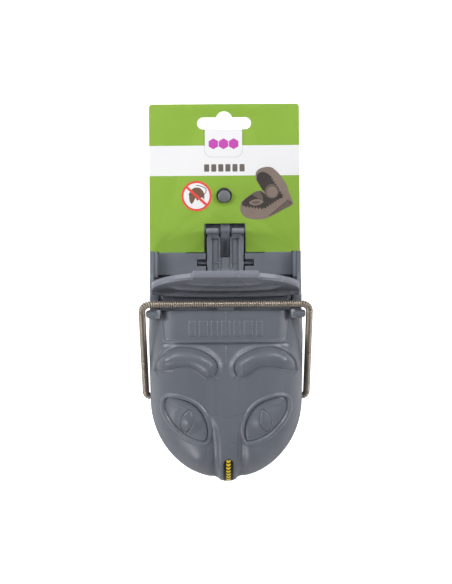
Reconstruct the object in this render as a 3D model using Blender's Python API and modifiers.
"""Snap mouse trap on its hanging card.

+X is the trap's right, +Y is the rear (towards the card), +Z is up.
The origin is on the resting plane, straight below the hinge of the upper jaw.
"""
import bpy
import bmesh
import math
from mathutils import Matrix, Vector

MM = 0.001

# ---- jaws
JAW_FRONT_HALF = 43.7
JAW_REAR_HALF = 44.5
JAW_ROUND_Y = -58.5
JAW_ROUND_DEPTH = 46.25
JAW_ROUND_POWER = 2.05
NOSE_BUMP = 2.0
NOSE_BUMP_WIDTH = 6.0
JAW_BACK_Y = -7.6
WALL = 2.2
RIM_Z = 22.0
RIM_GAP = 0.9
TOOTH_PITCH = 6.4
TOOTH_HEIGHT = 3.0
TEETH_START_Y = -20.0
CROWN_BACK = 26.0
CROWN_NOSE = 17.0
SHOULDER_BACK = 6.0
SHOULDER_NOSE = 3.4
SECTION_ROWS = (1.0, 0.994, 0.972, 0.935, 0.88, 0.8, 0.68, 0.54, 0.38, 0.2, 0.0)
BASE_DRAFT = 0.07
BASE_REAR_Y = 27.0
REAR_WALL_Z = 18.0
FLOOR_LOW = 3.0
FLOOR_HIGH = 5.0

# ---- hinge
HINGE_Z = 29.0
BARREL_RADIUS = 4.8
BARREL_HALF = 37.6
EAR_INNER = 38.3
EAR_OUTER = 43.45
EAR_RADIUS = 5.6
HINGE_PIN_RADIUS = 2.4
HINGE_BORE_RADIUS = 2.65
HINGE_PIN_DEPTH = 31.0

# ---- lever pad
PAD_ANGLE = 66.0
PAD_FACE = 2.4
PAD_THICK = 2.6
PAD_FOOT = 5.1
TAB_HALF = 18.4
TAB_TOP = 36.0
PAD_HALF = 42.2

# ---- brow plate and face
PLATE_FRONT_Y = -25.5
PLATE_HALF = 36.0
EYE_X = 23.6
EYE_Y = -73.0

# ---- spring
SPRING_RADIUS = 2.05
SPAN_Y = -3.9
SPAN_Z = 50.0
SPAN_HALF = 42.5
BEND_RADIUS = 5.0
ANCHOR_Y = -59.0
ANCHOR_Z = 8.0
END_BEND_RADIUS = 3.6
ANCHOR_RADIUS = 1.5
BOSS_RADIUS = 3.4
ANCHOR_INNER = 39.0
ANCHOR_OUTER = 43.6
LUG_Y = -9.4
LUG_Z = 46.0
LUG_RADIUS = 2.2

# ---- trigger
TRIGGER_Y = 20.0
TRIGGER_Z = 8.0
ARM_INNER = 2.9
ARM_OUTER = 10.9
ARM_GAP_HALF = 11.6
HOOK_BACK_Y = 40.4
HOOK_TOP_Z = 33.0
HOOK_FRONT_Y = 38.9
HOOK_TIP_Y = 37.2
PADDLE_Y = -18.0
PADDLE_RADIUS = 12.0
PADDLE_Z = 25.0
TRIGGER_PIN_RADIUS = 0.8
SLOT_OUTER = 16.9

# ---- rear plate, card and peg
DECK_LOW = 9.2
DECK_HIGH = 11.4
DECK_FRONT_Y = 13.0
DECK_BACK_Y = 26.5
PLATE_HIGH = 8.0
PLATE_REAR_Y = 66.0
PLATE_HALF_WIDTH = 30.0
CARD_LOW = 8.3
CARD_THICK = 0.6
CARD_HALF = 44.6
TUCK_HALF = 39.4
CARD_SHIFT = -0.6
CARD_FRONT_Y = 22.2
CARD_BACK_Y = 114.6
NOTCH_HALF = 12.2
NOTCH_BACK_Y = 43.6
PEG_X = -0.5
PEG_Y = 59.5
PEG_RADIUS = 3.6
CARD_HOLE_RADIUS = 4.25
EURO_Y = 103.5
EURO_LENGTH = 32.0
EURO_HEIGHT = 7.1
EURO_HUMP_RADIUS = 5.3

# ---- bait cup
CUP_Y = -62.0
CUP_HALF_LENGTH = 16.0
CUP_HALF_WIDTH = 8.5
CUP_TOP = 11.0

for old in list(bpy.data.objects):
    bpy.data.objects.remove(old)

parts = bpy.data.collections.new("snap_mouse_trap")
cutters = bpy.data.collections.new("cutters")
bpy.context.scene.collection.children.link(parts)
bpy.context.scene.collection.children.link(cutters)


def material(name, colour, roughness, metallic=0.0):
    mat = bpy.data.materials.new(name)
    mat.use_nodes = True
    shader = mat.node_tree.nodes["Principled BSDF"]
    shader.inputs["Base Color"].default_value = (*colour, 1.0)
    shader.inputs["Roughness"].default_value = roughness
    shader.inputs["Metallic"].default_value = metallic
    return mat


def tidy_mesh(mesh):
    """Weld touching corners and turn every face outwards."""
    bm = bmesh.new()
    bm.from_mesh(mesh)
    bmesh.ops.remove_doubles(bm, verts=bm.verts, dist=0.00001)
    bmesh.ops.recalc_face_normals(bm, faces=bm.faces)
    bm.to_mesh(mesh)
    bm.free()


def add(name, mesh, home, mat=None, smooth=False):
    obj = bpy.data.objects.new(name, mesh)
    home.objects.link(obj)
    if home is cutters:
        obj.hide_render = True
        obj.display_type = "WIRE"
    if mat is not None:
        mesh.materials.clear()
        mesh.materials.append(mat)
    for face in mesh.polygons:
        face.use_smooth = smooth
    return obj


def box(name, low, high, home=cutters, mat=None):
    """Block between two corners given in millimetres."""
    mesh = bpy.data.meshes.new(name)
    bm = bmesh.new()
    bmesh.ops.create_cube(bm, size=1.0)
    size = [(b - a) * MM for a, b in zip(low, high)]
    middle = [(a + b) * 0.5 * MM for a, b in zip(low, high)]
    bmesh.ops.scale(bm, vec=size, verts=bm.verts)
    bmesh.ops.translate(bm, vec=middle, verts=bm.verts)
    bm.to_mesh(mesh)
    bm.free()
    return add(name, mesh, home, mat)


def rod(name, start, end, radius, home=cutters, mat=None, segments=32, radius_end=None):
    """Round bar, or cone, between two points given in millimetres."""
    a = Vector(start) * MM
    b = Vector(end) * MM
    turn = (b - a).to_track_quat("Z", "Y").to_matrix().to_4x4()
    place = Matrix.Translation((a + b) * 0.5) @ turn
    mesh = bpy.data.meshes.new(name)
    bm = bmesh.new()
    last = radius if radius_end is None else radius_end
    bmesh.ops.create_cone(bm, cap_ends=True, segments=segments, radius1=radius * MM,
                          radius2=last * MM, depth=(b - a).length, matrix=place)
    bm.to_mesh(mesh)
    bm.free()
    obj = add(name, mesh, home, mat)
    for face in mesh.polygons:
        face.use_smooth = len(face.vertices) == 4
    return obj


def from_curve(name, curve, place, home, mat, smooth):
    """Turn a curve into a closed welded mesh."""
    holder = bpy.data.objects.new(name + "_curve", curve)
    bpy.context.scene.collection.objects.link(holder)
    holder.matrix_world = place
    bpy.context.view_layer.update()
    mesh = bpy.data.meshes.new_from_object(holder)
    mesh.transform(holder.matrix_world)
    bpy.data.objects.remove(holder)
    tidy_mesh(mesh)
    mesh.name = name
    return add(name, mesh, home, mat, smooth)


def flat(name, outlines, low, high, home=cutters, mat=None, place=None):
    """Flat outline (first loop) with holes (other loops), given thickness from low to high."""
    curve = bpy.data.curves.new(name, "CURVE")
    curve.dimensions = "2D"
    curve.fill_mode = "BOTH"
    curve.extrude = (high - low) * 0.5 * MM
    for loop in outlines:
        line = curve.splines.new("POLY")
        line.points.add(len(loop) - 1)
        for point, (x, y) in zip(line.points, loop):
            point.co = (x * MM, y * MM, 0.0, 1.0)
        line.use_cyclic_u = True
    raised = Matrix.Translation((0.0, 0.0, (low + high) * 0.5 * MM))
    whole = raised if place is None else place @ raised
    return from_curve(name, curve, whole, home, mat, False)


def tube(name, points, radius, home=cutters, mat=None, sides=2, taper=None):
    """Round bar along a line of points in millimetres."""
    curve = bpy.data.curves.new(name, "CURVE")
    curve.dimensions = "3D"
    curve.bevel_depth = radius * MM
    curve.bevel_resolution = sides
    curve.use_fill_caps = True
    line = curve.splines.new("POLY")
    line.points.add(len(points) - 1)
    for index, (point, place) in enumerate(zip(line.points, points)):
        point.co = (place[0] * MM, place[1] * MM, place[2] * MM, 1.0)
        point.radius = 1.0 if taper is None else taper[index]
    return from_curve(name, curve, Matrix.Identity(4), home, mat, True)


def shape(target, other, operation):
    """Join with, or cut by, another solid."""
    step = target.modifiers.new(other.name, "BOOLEAN")
    step.operation = operation
    step.solver = "EXACT"
    step.object = other
    return step


def join(target, *others):
    for other in others:
        shape(target, other, "UNION")


def cut(target, *others):
    for other in others:
        shape(target, other, "DIFFERENCE")


def settle(obj):
    """Keep the result of the steps so far as plain mesh."""
    view = bpy.context.evaluated_depsgraph_get()
    mesh = bpy.data.meshes.new_from_object(obj.evaluated_get(view))
    obj.modifiers.clear()
    obj.data = mesh
    tidy_mesh(mesh)


def set_origin(obj, point):
    """Move the object's origin to a point in millimetres without moving its shape."""
    shift = Vector(point) * MM
    obj.data.transform(Matrix.Translation(-shift))
    obj.location = shift


def arc_points(cx, cy, radius, start, end, steps):
    result = []
    for i in range(steps + 1):
        angle = math.radians(start + (end - start) * i / steps)
        result.append((cx + radius * math.cos(angle), cy + radius * math.sin(angle)))
    return result


# Drawings in (y, z) pushed out along x, and drawings in (x, z) pushed out towards -y.
SIDE_FRAME = Matrix(((0, 0, 1, 0), (1, 0, 0, 0), (0, 1, 0, 0), (0, 0, 0, 1)))
STAND = Matrix(((1, 0, 0, 0), (0, 0, -1, 0), (0, 1, 0, 0), (0, 0, 0, 1)))


# ------------------------------------------------------------------ shape of the jaws
def half_width(y):
    """Half the width of the jaws, which taper slightly from the hinge to the rounded front."""
    share = (y - JAW_ROUND_Y) / (JAW_BACK_Y - JAW_ROUND_Y)
    return JAW_FRONT_HALF + (JAW_REAR_HALF - JAW_FRONT_HALF) * min(1.0, max(0.0, share))


def outline_at(angle):
    """Point of the rounded front outline; angle 0 is the left side, pi the right side."""
    power = 2.0 / JAW_ROUND_POWER
    c = math.cos(angle)
    s = math.sin(angle)
    x = -JAW_FRONT_HALF * math.copysign(abs(c) ** power, c)
    y = JAW_ROUND_Y - JAW_ROUND_DEPTH * abs(s) ** power
    y -= NOSE_BUMP * math.exp(-(x / NOSE_BUMP_WIDTH) ** 4)
    return x, y


def walk_outline(back_y):
    """Outline of the jaw from the left rear round the nose to the right rear, evenly spaced."""
    fine = []
    steps = 900
    side = 120
    for i in range(side):
        y = back_y + (JAW_ROUND_Y - back_y) * i / side
        fine.append((-half_width(y), y))
    for i in range(steps + 1):
        fine.append(outline_at(math.pi * i / steps))
    for i in range(side):
        y = JAW_ROUND_Y + (back_y - JAW_ROUND_Y) * (i + 1) / side
        fine.append((half_width(y), y))
    run = [0.0]
    for a, b in zip(fine, fine[1:]):
        run.append(run[-1] + math.dist(a, b))
    count = 2 * round(run[-1] / TOOTH_PITCH)
    result = []
    j = 0
    for i in range(count + 1):
        want = run[-1] * i / count
        while j < len(run) - 2 and run[j + 1] < want:
            j += 1
        f = (want - run[j]) / (run[j + 1] - run[j])
        result.append((fine[j][0] + f * (fine[j + 1][0] - fine[j][0]),
                       fine[j][1] + f * (fine[j + 1][1] - fine[j][1])))
    return result


def soft_step(a, b, value):
    t = min(1.0, max(0.0, (value - a) / (b - a)))
    return t * t * (3.0 - 2.0 * t)


def spine_point(x, y):
    """Nearest point of the middle line towards which the outline shrinks."""
    return (0.0, max(y, JAW_ROUND_Y))


def tooth(index, count, y):
    """Saw-tooth height of a rim point; the pattern mirrors about the nose."""
    if y > TEETH_START_Y:
        return 0.0
    from_nose = abs(index - count // 2)
    return TOOTH_HEIGHT * (0.5 if from_nose % 2 else -0.5)


def crown(x, y, r):
    """Height of the upper jaw's skin above its rim; r is 1 at the rim and 0 on the spine."""
    front = soft_step(-38.0, -108.0, y)
    height = CROWN_BACK + (CROWN_NOSE - CROWN_BACK) * front
    power = SHOULDER_BACK + (SHOULDER_NOSE - SHOULDER_BACK) * soft_step(-45.0, -90.0, y)
    top = height * math.sqrt(max(0.0, 1.0 - r ** power))
    return top + face_relief(x, y) * soft_step(1.0, 0.9, r)


def bump(x, y, cx, cy, wide, deep):
    return math.exp(-((x - cx) / wide) ** 2 - ((y - cy) / deep) ** 2)


def face_relief(x, y):
    """Raised forehead and nose ridge, hollow eye sockets."""
    side = abs(x)
    value = -1.6 * bump(side, y, EYE_X, EYE_Y, 13.0, 15.0)
    value += 1.6 * bump(side, y, 19.0, -38.0, 15.0, 6.0)
    value += 1.2 * bump(side, y, 0.0, -88.0, 6.0, 16.0)
    return value


def grid_mesh(name, columns):
    """Sheet through columns of points in millimetres."""
    mesh = bpy.data.meshes.new(name)
    bm = bmesh.new()
    rows = [[bm.verts.new((p[0] * MM, p[1] * MM, p[2] * MM)) for p in col] for col in columns]
    for left, right in zip(rows, rows[1:]):
        for a, b, c, d in zip(left, right, right[1:], left[1:]):
            bm.faces.new((a, b, c, d))
    bmesh.ops.remove_doubles(bm, verts=bm.verts, dist=0.00002)
    bmesh.ops.recalc_face_normals(bm, faces=bm.faces)
    bm.to_mesh(mesh)
    bm.free()
    return mesh


def thicken(obj, thickness, offset):
    step = obj.modifiers.new("wall", "SOLIDIFY")
    step.thickness = thickness * MM
    step.offset = offset
    step.use_even_offset = True
    step.use_quality_normals = True


# ------------------------------------------------------------------ upper jaw
plastic_jaw = material("jaw_plastic", (0.12, 0.13, 0.155), 0.45)
plastic_base = material("base_plastic", (0.1, 0.11, 0.13), 0.5)
plastic_lever = material("lever_plastic", (0.11, 0.12, 0.145), 0.5)
plastic_trigger = material("trigger_plastic", (0.095, 0.105, 0.125), 0.45)
plastic_cup = material("cup_plastic", (0.75, 0.75, 0.72), 0.4)
plastic_peg = material("peg_plastic", (0.13, 0.14, 0.15), 0.45)
plastic_stud = material("stud_plastic", (0.1, 0.11, 0.13), 0.5)
steel_pin = material("pin_steel", (0.45, 0.45, 0.46), 0.35, 1.0)
steel_spring = material("spring_steel", (0.42, 0.38, 0.34), 0.35, 1.0)
card_stock = material("card_stock", (0.2, 0.35, 0.05), 0.6)
label_film = material("label_film", (0.01, 0.01, 0.012), 0.35)

rim = walk_outline(JAW_BACK_Y)
rim_last = len(rim) - 1
skin_columns = []
for index, (rim_x, rim_y) in enumerate(rim):
    middle_x, middle_y = spine_point(rim_x, rim_y)
    column = []
    for r in SECTION_ROWS:
        x = middle_x + (rim_x - middle_x) * r
        y = middle_y + (rim_y - middle_y) * r
        z = RIM_Z + RIM_GAP + crown(x, y, r)
        if r == 1.0:
            z = RIM_Z + RIM_GAP + tooth(index, rim_last, rim_y)
        column.append((x, y, z))
    skin_columns.append(column)

upper_jaw = add("upper_jaw", grid_mesh("upper_jaw", skin_columns), parts, plastic_jaw)
sheet = bmesh.new()
sheet.from_mesh(upper_jaw.data)
if sum(face.normal.z for face in sheet.faces) < 0.0:
    bmesh.ops.reverse_faces(sheet, faces=sheet.faces)
sheet.to_mesh(upper_jaw.data)
sheet.free()
thicken(upper_jaw, WALL, -1.0)
settle(upper_jaw)


def section_outline(y, inset, low_z):
    """Cross-section of the upper jaw at a given y, drawn in (x, z)."""
    half = []
    for r in SECTION_ROWS:
        x = half_width(y) * r
        half.append((x - inset * r, RIM_Z + RIM_GAP + crown(x, y, r) - inset))
    half = [p for p in half if p[1] > low_z + 0.5]
    right = [(half[0][0], low_z)] + half
    left = [(-x, z) for x, z in reversed(right[:-1])]
    return right + left


wall_line = section_outline(JAW_BACK_Y - 1.0, 1.0, 30.0)
bulkhead = flat("jaw_bulkhead", [wall_line], -JAW_BACK_Y, -JAW_BACK_Y + 2.2,
                place=STAND)
barrel = rod("jaw_barrel", (-BARREL_HALF, 0, HINGE_Z), (BARREL_HALF, 0, HINGE_Z), BARREL_RADIUS)
bridge = box("jaw_bridge", (-36.5, JAW_BACK_Y - 1.0, HINGE_Z + 0.4), (36.5, -1.0, HINGE_Z + 4.0))
brow_plate = box("brow_plate", (-PLATE_HALF, PLATE_FRONT_Y, RIM_Z + 22.0),
                 (PLATE_HALF, JAW_BACK_Y + 0.6, RIM_Z + RIM_GAP + CROWN_BACK + 1.8))
plate_edge = brow_plate.modifiers.new("edge", "BEVEL")
plate_edge.width = 1.2 * MM
plate_edge.segments = 2
plate_edge.limit_method = "ANGLE"
join(upper_jaw, bulkhead, barrel, bridge, brow_plate)


def skin_z(x, y):
    """Height of the upper jaw's outer skin over a point."""
    a = abs(x) / half_width(y)
    if y >= JAW_ROUND_Y:
        r = a
    else:
        depth = JAW_ROUND_DEPTH + NOSE_BUMP * math.exp(-(x / NOSE_BUMP_WIDTH) ** 4)
        b = (JAW_ROUND_Y - y) / depth
        r = (a ** JAW_ROUND_POWER + b ** JAW_ROUND_POWER) ** (1.0 / JAW_ROUND_POWER)
    return RIM_Z + RIM_GAP + crown(x, y, min(1.0, r))


BROW_LINE = ((8.0, -42.5), (13.0, -39.5), (20.0, -36.5), (27.0, -35.0), (33.0, -36.5), (38.0, -41.5))
BROW_WIDTH = (0.45, 0.9, 1.0, 1.0, 0.9, 0.4)
for side, tag in ((-1, "left"), (1, "right")):
    line = [(side * x, y, skin_z(x, y) - 0.3) for x, y in BROW_LINE]
    brow = tube("brow_" + tag, line, 2.6, taper=BROW_WIDTH)
    eye_z = skin_z(EYE_X, EYE_Y)
    mesh = bpy.data.meshes.new("eye_" + tag)
    bm = bmesh.new()
    bmesh.ops.create_uvsphere(bm, u_segments=20, v_segments=10, radius=1.0)
    bmesh.ops.scale(bm, vec=(9.0 * MM, 11.0 * MM, 3.4 * MM), verts=bm.verts)
    bm.to_mesh(mesh)
    bm.free()
    eye = add("eye_" + tag, mesh, cutters, None, True)
    eye.location = (side * EYE_X * MM, EYE_Y * MM, eye_z * MM)
    eye.rotation_euler = (math.radians(14.0), math.radians(side * 10.0), 0.0)
    cheek = box("spring_seat_" + tag, (min(side * 36.5, side * 42.4), JAW_BACK_Y - 1.5, 41.0),
                (max(side * 36.5, side * 42.4), -2.2, SPAN_Z - SPRING_RADIUS - 0.4))
    lug = rod("spring_lug_" + tag, (side * 40.0, LUG_Y, LUG_Z), (side * 45.2, LUG_Y, LUG_Z), LUG_RADIUS,
              segments=20, radius_end=LUG_RADIUS - 0.5)
    join(upper_jaw, brow, eye, cheek, lug)
cut(upper_jaw, rod("barrel_bore", (-BARREL_HALF - 5, 0, HINGE_Z), (BARREL_HALF + 5, 0, HINGE_Z),
                   HINGE_BORE_RADIUS))
settle(upper_jaw)
set_origin(upper_jaw, (0, 0, HINGE_Z))

# ------------------------------------------------------------------ lever pad
lean = math.radians(PAD_ANGLE)
PAD_FRAME = Matrix(((1, 0, 0, 0), (0, math.cos(lean), -math.sin(lean), 0),
                    (0, math.sin(lean), math.cos(lean), HINGE_Z * MM), (0, 0, 0, 1)))
half_pad = [(0.0, TAB_TOP), (TAB_HALF - 0.8, TAB_TOP), (TAB_HALF, TAB_TOP - 0.8),
            (TAB_HALF + 0.6, TAB_TOP - 2.2)]
for i in range(9):
    turn = math.radians(76.0 - 76.0 * i / 8)
    half_pad.append((TAB_HALF + 1.4 + (PAD_HALF - TAB_HALF - 1.4) * math.cos(turn) ** 0.8,
                     18.0 + (TAB_TOP - 21.0) * math.sin(turn) ** 0.9))
half_pad += [(PAD_HALF, 10.2), (PAD_HALF - 1.5, 8.7), (BARREL_HALF - 0.6, 8.0), (BARREL_HALF - 0.8, 2.0)]
pad_outline = half_pad + [(-x, y) for x, y in reversed(half_pad[1:])]
press_lever = flat("press_lever", [pad_outline], PAD_FACE - PAD_THICK, PAD_FACE, parts, plastic_lever,
                   PAD_FRAME)
RIB_LINES = ((26.3, 16.0), (19.4, 26.0), (11.8, 38.0), (8.0, 25.0))
for number, (rib_s, rib_half) in enumerate(RIB_LINES):
    line = []
    for i in range(13):
        x = rib_half * (i / 6.0 - 1.0)
        place = PAD_FRAME @ Vector((x * MM, (rib_s + 0.0035 * x * x) * MM, (PAD_FACE + 0.1) * MM))
        line.append(place / MM)
    join(press_lever, tube("pad_rib_%d" % number, line, 0.8, sides=1))
foot = box("pad_foot", (-BARREL_HALF + 0.6, -3.4, HINGE_Z + 2.0), (BARREL_HALF - 0.6, 4.6, HINGE_Z + 7.6))
join(press_lever, foot)
cut(press_lever, rod("pad_seat", (-60, 0, HINGE_Z), (60, 0, HINGE_Z), PAD_FOOT),
    box("pad_clear", (-60, -12, HINGE_Z - 3), (60, -0.7, HINGE_Z + 4.4)))
settle(press_lever)
set_origin(press_lever, (0, 0, HINGE_Z))

# ------------------------------------------------------------------ lower jaw and rear base
def rim_height(y):
    """Top of the base wall: toothed in front, plain at the hinge, lower at the rear."""
    if y > 6.0:
        return REAR_WALL_Z + (RIM_Z - REAR_WALL_Z) * soft_step(14.0, 6.0, y)
    return RIM_Z


base_columns = []
side_steps = 12
for step in range(side_steps):
    y = BASE_REAR_Y + (JAW_BACK_Y - BASE_REAR_Y) * step / side_steps
    base_columns.append((-JAW_REAR_HALF, y, rim_height(y)))
for index, (x, y) in enumerate(rim):
    base_columns.append((x, y, RIM_Z + tooth(index, rim_last, y)))
for step in range(side_steps):
    y = BASE_REAR_Y + (JAW_BACK_Y - BASE_REAR_Y) * (side_steps - 1 - step) / side_steps
    base_columns.append((JAW_REAR_HALF, y, rim_height(y)))
wall_columns = []
for x, y, top in base_columns:
    middle_x, middle_y = spine_point(x, y)
    column = []
    for level, share in ((0.0, 1.0), (0.35, 0.55), (0.75, 0.16), (1.0, 0.0)):
        shrink = 1.0 - BASE_DRAFT * share
        column.append((middle_x + (x - middle_x) * shrink, middle_y + (y - middle_y) * shrink,
                       top * level))
    wall_columns.append(column)
base_shell = add("base_shell", grid_mesh("base_shell", wall_columns), parts, plastic_base)
sheet = bmesh.new()
sheet.from_mesh(base_shell.data)
sheet.faces.ensure_lookup_table()
first = sheet.faces[0]
if first.normal.x * first.calc_center_median().x < 0.0:
    bmesh.ops.reverse_faces(sheet, faces=sheet.faces)
sheet.to_mesh(base_shell.data)
sheet.free()
thicken(base_shell, WALL, -1.0)
settle(base_shell)

floor_line = []
for x, y, top in base_columns:
    middle_x, middle_y = spine_point(x, y)
    shrink = 1.0 - BASE_DRAFT * 0.9 - 0.02
    floor_line.append((middle_x + (x - middle_x) * shrink, middle_y + (y - middle_y) * shrink))
floor = flat("base_floor", [floor_line], FLOOR_LOW, FLOOR_HIGH)
join(base_shell, floor)
deck = box("deck", (-42.6, DECK_FRONT_Y, DECK_LOW), (42.6, DECK_BACK_Y, DECK_HIGH))
deck_wall = box("deck_front", (-41.9, DECK_FRONT_Y + 0.2, FLOOR_HIGH - 1.0),
                (41.9, DECK_FRONT_Y + 2.2, DECK_LOW + 1.0))
rear_plate = box("rear_plate", (-PLATE_HALF_WIDTH, 20.0, 0.0), (PLATE_HALF_WIDTH, PLATE_REAR_Y, PLATE_HIGH))
rear_ledge = box("rear_ledge", (-42.2, 18.9, PLATE_HIGH - 2.1), (42.2, 26.8, PLATE_HIGH - 0.1))
floor_rib = box("floor_rib", (-39.0, -4.0, 0.0), (39.0, 4.0, FLOOR_LOW + 1.0))
join(base_shell, deck, deck_wall, rear_plate, rear_ledge, floor_rib)
cut(base_shell,
    box("rear_hollow_left", (-PLATE_HALF_WIDTH + 2, 28.0, -1.0), (-NOTCH_HALF - 2, 64.0, 6.0)),
    box("rear_hollow_right", (NOTCH_HALF + 2, 28.0, -1.0), (PLATE_HALF_WIDTH - 2, 64.0, 6.0)),
    box("rear_hollow_middle", (-NOTCH_HALF, 47.0, -1.0), (NOTCH_HALF, 64.0, 3.0)),
    box("hook_well", (-ARM_GAP_HALF, 2.0, 5.0), (ARM_GAP_HALF, 43.8, 30.0)))


def span(side, a, b):
    """The stretch of x between a and b on the given side, in rising order."""
    return min(side * a, side * b), max(side * a, side * b)


for side, tag in ((-1, "left"), (1, "right")):
    ear_x = span(side, EAR_INNER, EAR_OUTER)
    ear_line = [(-EAR_RADIUS, 4.2), (EAR_RADIUS, 4.2)] + arc_points(0.0, HINGE_Z, EAR_RADIUS, 0.0, 180.0, 12)
    ear_bore = arc_points(0.0, HINGE_Z, HINGE_BORE_RADIUS, 0.0, 345.0, 23)
    ear = flat("ear_" + tag, [ear_line, ear_bore], ear_x[0], ear_x[1], place=SIDE_FRAME)
    boss = rod("anchor_boss_" + tag, (side * 40.7, ANCHOR_Y, ANCHOR_Z), (side * 43.2, ANCHOR_Y, ANCHOR_Z),
               BOSS_RADIUS)
    join(base_shell, ear, boss)
    slot_x = span(side, ARM_GAP_HALF - 0.5, SLOT_OUTER)
    lip_x = span(side, NOTCH_HALF + 0.3, 23.5)
    cut(base_shell,
        rod("anchor_bore_" + tag, (side * 36.0, ANCHOR_Y, ANCHOR_Z), (side * 50.0, ANCHOR_Y, ANCHOR_Z), 1.8),
        box("t_slot_" + tag, (slot_x[0], 18.3, 7.0), (slot_x[1], 22.2, 20.0)),
        box("lip_step_" + tag, (lip_x[0], DECK_BACK_Y - 0.6, DECK_LOW - 0.1), (lip_x[1], 30.0, 20.0)))


def lens(half_length, half_width, steps=10):
    """Eye-shaped outline made of two arcs."""
    radius = (half_length ** 2 + half_width ** 2) / (2.0 * half_width)
    reach = math.asin(half_length / radius)
    upper = []
    for i in range(steps + 1):
        angle = -reach + 2.0 * reach * i / steps
        upper.append((radius * math.sin(angle), radius * math.cos(angle) - radius + half_width))
    lower = [(-x, -y) for x, y in upper[1:-1]]
    return [(x, CUP_Y + y) for x, y in upper + lower]


cut(base_shell, flat("cup_opening", [lens(CUP_HALF_LENGTH + 0.5, CUP_HALF_WIDTH + 0.4)], 1.0, 8.0),
    rod("peg_bore", (PEG_X, PEG_Y, 1.0), (PEG_X, PEG_Y, 12.0), 2.1))
settle(base_shell)

# ------------------------------------------------------------------ bait cup
bait_cup = flat("bait_cup", [lens(CUP_HALF_LENGTH, CUP_HALF_WIDTH)], 1.0, CUP_TOP, parts, plastic_cup)
flange = flat("cup_flange", [lens(CUP_HALF_LENGTH + 3.0, CUP_HALF_WIDTH + 2.0)], 0.9, 2.6)
hollow = flat("cup_hollow", [lens(CUP_HALF_LENGTH - 2.0, CUP_HALF_WIDTH - 1.2)], 2.2, CUP_TOP + 2.0)
join(bait_cup, flange)
cut(bait_cup, hollow)
settle(bait_cup)
set_origin(bait_cup, (0, CUP_Y, FLOOR_LOW))

# ------------------------------------------------------------------ trigger
bar_low = TRIGGER_Z - 1.8
profile = [(24.0, bar_low), (HOOK_BACK_Y, bar_low), (HOOK_BACK_Y, HOOK_TOP_Z - 0.8),
           (HOOK_BACK_Y - 0.8, HOOK_TOP_Z), (HOOK_FRONT_Y - 0.5, HOOK_TOP_Z - 0.4),
           (HOOK_TIP_Y, HOOK_TOP_Z - 2.2), (HOOK_TIP_Y, HOOK_TOP_Z - 2.7),
           (HOOK_FRONT_Y, HOOK_TOP_Z - 2.7), (HOOK_FRONT_Y, bar_low + 5.5),
           (36.0, bar_low + 3.6), (14.5, bar_low + 3.6), (14.5, bar_low)]
trigger = flat("trigger", [profile], ARM_INNER, ARM_OUTER, parts, plastic_trigger, SIDE_FRAME)
other_arm = flat("trigger_arm_left", [profile], -ARM_OUTER, -ARM_INNER, place=SIDE_FRAME)
web = box("trigger_web", (-ARM_INNER - 1, 15.0, bar_low + 0.3), (ARM_INNER + 1, 23.5, bar_low + 3.3))
tongue_line = [(17.0, bar_low + 0.3), (17.0, bar_low + 3.3), (0.0, 12.6), (PADDLE_Y, 14.0),
               (PADDLE_Y - 1.2, 14.0), (PADDLE_Y - 1.2, 11.0), (0.0, 9.6)]
tongue = flat("trigger_tongue", [tongue_line], -5.0, 5.0, place=SIDE_FRAME)
paddle = rod("trigger_paddle", (0, PADDLE_Y - 1.2, PADDLE_Z), (0, PADDLE_Y + 1.2, PADDLE_Z), PADDLE_RADIUS)
join(trigger, other_arm, web, tongue, paddle)
cut(trigger, rod("trigger_bore", (-20, TRIGGER_Y, TRIGGER_Z), (20, TRIGGER_Y, TRIGGER_Z), 1.1, segments=20))
settle(trigger)
set_origin(trigger, (0, TRIGGER_Y, TRIGGER_Z))
trigger_pin = rod("trigger_pin", (-SLOT_OUTER + 0.4, TRIGGER_Y, TRIGGER_Z),
                  (SLOT_OUTER - 0.4, TRIGGER_Y, TRIGGER_Z), TRIGGER_PIN_RADIUS, parts, steel_pin, 20)
set_origin(trigger_pin, (0, TRIGGER_Y, TRIGGER_Z))

# ------------------------------------------------------------------ pins, studs and peg
for side, tag in ((-1, "left"), (1, "right")):
    pin = rod("hinge_pin_" + tag, (side * HINGE_PIN_DEPTH, 0, HINGE_Z),
              (side * (EAR_OUTER + 0.65), 0, HINGE_Z), HINGE_PIN_RADIUS, parts, steel_pin, 28)
    set_origin(pin, (side * 40.0, 0, HINGE_Z))
    rod("spring_anchor_" + tag, (side * ANCHOR_INNER, ANCHOR_Y, ANCHOR_Z),
        (side * ANCHOR_OUTER, ANCHOR_Y, ANCHOR_Z), ANCHOR_RADIUS, parts, plastic_stud, 24)
card_peg = rod("card_peg", (PEG_X, PEG_Y, 8.3), (PEG_X, PEG_Y, 11.0), PEG_RADIUS, parts, plastic_peg, 36)
join(card_peg, rod("peg_dome", (PEG_X, PEG_Y, 10.9), (PEG_X, PEG_Y, 11.6), PEG_RADIUS, segments=36,
                   radius_end=PEG_RADIUS - 0.7),
     rod("peg_stem", (PEG_X, PEG_Y, 3.4), (PEG_X, PEG_Y, 8.6), 1.8, segments=24))
settle(card_peg)

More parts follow.
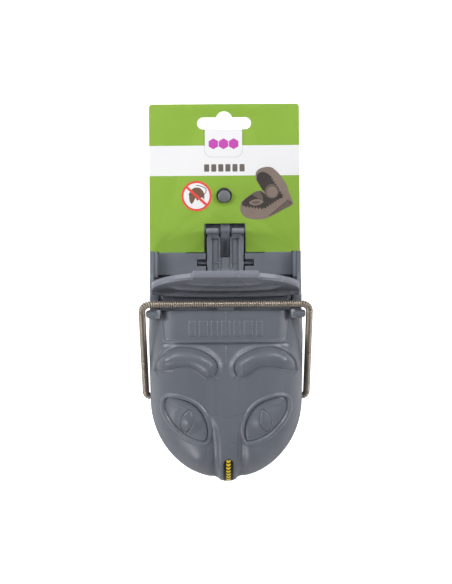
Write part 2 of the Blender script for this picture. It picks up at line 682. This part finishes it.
# ------------------------------------------------------------------ header card
half_card = [(NOTCH_HALF, CARD_FRONT_Y), (TUCK_HALF, CARD_FRONT_Y), (TUCK_HALF, BASE_REAR_Y + 0.4),
             (CARD_HALF, BASE_REAR_Y + 0.4)]
half_card += arc_points(CARD_HALF - 2.0, CARD_BACK_Y - 2.0, 2.0, 0.0, 90.0, 4)
notch_corner = arc_points(NOTCH_HALF - 1.5, NOTCH_BACK_Y - 1.5, 1.5, 90.0, 0.0, 3)
right_card = notch_corner + half_card
card_line = right_card + [(-x, y) for x, y in reversed(right_card)]
card_line = [(x + CARD_SHIFT * soft_step(28.0, 32.0, y), y) for x, y in card_line]
euro_end = EURO_LENGTH * 0.5 - EURO_HEIGHT * 0.5
hump = math.degrees(math.asin((EURO_HEIGHT * 0.5 - 1.8) / EURO_HUMP_RADIUS))
euro = arc_points(euro_end, EURO_Y, EURO_HEIGHT * 0.5, -90.0, 90.0, 8)
euro += arc_points(0.0, EURO_Y + 1.8, EURO_HUMP_RADIUS, hump, 180.0 - hump, 10)
euro += arc_points(-euro_end, EURO_Y, EURO_HEIGHT * 0.5, 90.0, 270.0, 8)
euro = [(x + CARD_SHIFT, y) for x, y in euro]
peg_hole = arc_points(PEG_X, PEG_Y + 0.3, CARD_HOLE_RADIUS, 0.0, 345.0, 23)
header_card = flat("header_card", [card_line, euro, peg_hole], CARD_LOW, CARD_LOW + CARD_THICK, parts,
                   card_stock)

# ------------------------------------------------------------------ spring
run_y = ANCHOR_Y - SPAN_Y
run_z = ANCHOR_Z - SPAN_Z
run_length = math.hypot(run_y, run_z)
leg_y = run_y / run_length
leg_z = run_z / run_length
spring_span = rod("spring_span", (-SPAN_HALF + 0.3, SPAN_Y, SPAN_Z), (SPAN_HALF - 0.3, SPAN_Y, SPAN_Z),
                  SPRING_RADIUS, parts, steel_spring, 24)
set_origin(spring_span, (0, 0, HINGE_Z))
for side, tag in ((-1, "left"), (1, "right")):
    bend_line = []
    for i in range(9):
        angle = math.radians(90.0 * i / 8)
        out = BEND_RADIUS * math.sin(angle)
        down = BEND_RADIUS * (1.0 - math.cos(angle))
        bend_line.append((side * (SPAN_HALF + out), SPAN_Y + leg_y * down, SPAN_Z + leg_z * down))
    spring_bend = tube("spring_bend_" + tag, bend_line, SPRING_RADIUS, parts, steel_spring, sides=4)
    set_origin(spring_bend, (side * (SPAN_HALF + BEND_RADIUS), ANCHOR_Y, ANCHOR_Z))
    leg_x = side * (SPAN_HALF + BEND_RADIUS)
    leg_start = BEND_RADIUS + 0.3
    leg_end = run_length - END_BEND_RADIUS - 0.3
    spring_leg = rod("spring_leg_" + tag, (leg_x, SPAN_Y + leg_y * leg_start, SPAN_Z + leg_z * leg_start),
                     (leg_x, SPAN_Y + leg_y * leg_end, SPAN_Z + leg_z * leg_end), SPRING_RADIUS, parts,
                     steel_spring, 24)
    set_origin(spring_leg, (leg_x, ANCHOR_Y, ANCHOR_Z))
    end_line = []
    for i in range(9):
        angle = math.radians(90.0 * i / 8)
        inward = END_BEND_RADIUS * (1.0 - math.cos(angle))
        back = END_BEND_RADIUS * (1.0 - math.sin(angle))
        end_line.append((side * (SPAN_HALF + BEND_RADIUS - inward), ANCHOR_Y - leg_y * back,
                         ANCHOR_Z - leg_z * back))
    spring_hook = tube("spring_hook_" + tag, end_line, SPRING_RADIUS, parts, steel_spring, sides=4)
    set_origin(spring_hook, (leg_x, ANCHOR_Y, ANCHOR_Z))

# ------------------------------------------------------------------ nose sticker
STICKER_X = 1.4
STICKER_HALF = 2.75
STICKER_ROWS = (-92.5, -95.0, -97.5, -99.8, -101.8, -103.4, -104.6, -105.5, -106.1)
sticker_columns = []
for offset in (-STICKER_HALF, 0.0, STICKER_HALF):
    x = STICKER_X + offset
    column = []
    for y in STICKER_ROWS:
        here = Vector((x, y, skin_z(x, y)))
        slope_x = (skin_z(x + 0.1, y) - skin_z(x - 0.1, y)) / 0.2
        slope_y = (skin_z(x, y + 0.05) - skin_z(x, y - 0.05)) / 0.1
        out = Vector((-slope_x, -slope_y, 1.0)).normalized()
        column.append(here + out * 0.55)
    sticker_columns.append(column)
nose_sticker = add("nose_sticker", grid_mesh("nose_sticker", sticker_columns), parts, label_film)
thicken(nose_sticker, 0.2, 0.0)
settle(nose_sticker)
set_origin(nose_sticker, (0, 0, HINGE_Z))
